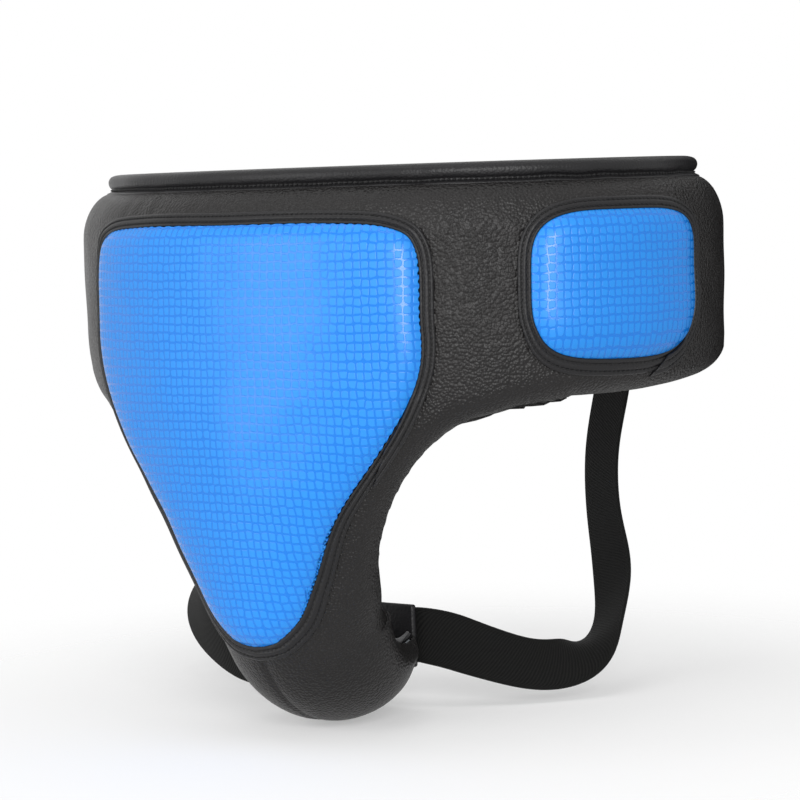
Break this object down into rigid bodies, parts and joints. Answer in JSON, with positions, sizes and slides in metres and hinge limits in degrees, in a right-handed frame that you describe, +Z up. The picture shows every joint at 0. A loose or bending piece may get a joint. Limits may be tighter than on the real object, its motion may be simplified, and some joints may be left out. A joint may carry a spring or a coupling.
{
  "type": "groin protector",
  "caption": "Padded groin protector: a foam belt with raised hip pads, a front panel over a hard cup, elastic leg straps and a hook-and-loop back closure.",
  "frame": {"origin": "centre of the waist opening, level with the top edge at the front", "axes": "+Z up along the wearer's body, -Y to the wearer's front, +X to the wearer's left"},
  "size_m": [0.3776, 0.3036, 0.2894],
  "materials": {
    "black_leather": "fine-grained synthetic leather, semi-gloss",
    "blue_leather": "synthetic leather embossed with small rounded cells, glossy",
    "lining_fabric": "close-woven nylon lining",
    "foam": "closed-cell foam sheet",
    "cup_plastic": "moulded polypropylene",
    "elastic": "woven elastic webbing with a diagonal rib",
    "thread": "bonded polyester sewing thread",
    "hook_tape": "hook tape",
    "loop_tape": "brushed loop tape"
  },
  "bodies": {
    "padded_belt": {"outer_cover": "black_leather", "crotch_gusset": "black_leather", "lining": "lining_fabric", "front_foam": "foam", "inner_foam": "foam", "left_wing_foam": "foam", "right_wing_foam": "foam", "groin_cup": "cup_plastic", "top_binding": "black_leather", "front_pad_cover": "blue_leather", "front_pad_foam": "foam", "front_pad_tape": "black_leather", "left_hip_pad_cover": "blue_leather", "left_hip_pad_foam": "foam", "left_hip_pad_tape": "black_leather", "right_hip_pad_cover": "blue_leather", "right_hip_pad_foam": "foam", "right_hip_pad_tape": "black_leather", "crotch_tab": "black_leather", "left_leg_strap": "elastic", "right_leg_strap": "elastic", "left_strap_patch": "black_leather", "right_strap_patch": "black_leather", "strap_bartacks": "thread", "band_anchor": "black_leather", "band_anchor_stitches": "thread", "loop_panel": "loop_tape"},
    "band": {"back_band": "elastic"},
    "tab": {"pull_tab": "black_leather", "pull_tab_stitches": "thread", "hook_patch": "hook_tape"}
  },
  "joints": [
    {"name": "band_swing", "type": "hinge", "parent": "padded_belt", "child": "band", "pos_m": [0.09, 0.1293, -0.057], "axis": [0, 0, -1], "range_deg": [0, 100]},
    {"name": "tab_peel", "type": "hinge", "parent": "band", "child": "tab", "pos_m": [-0.0626, 0.1418, -0.057], "axis": [0, 0, -1], "range_deg": [0, 80]}
  ]
}
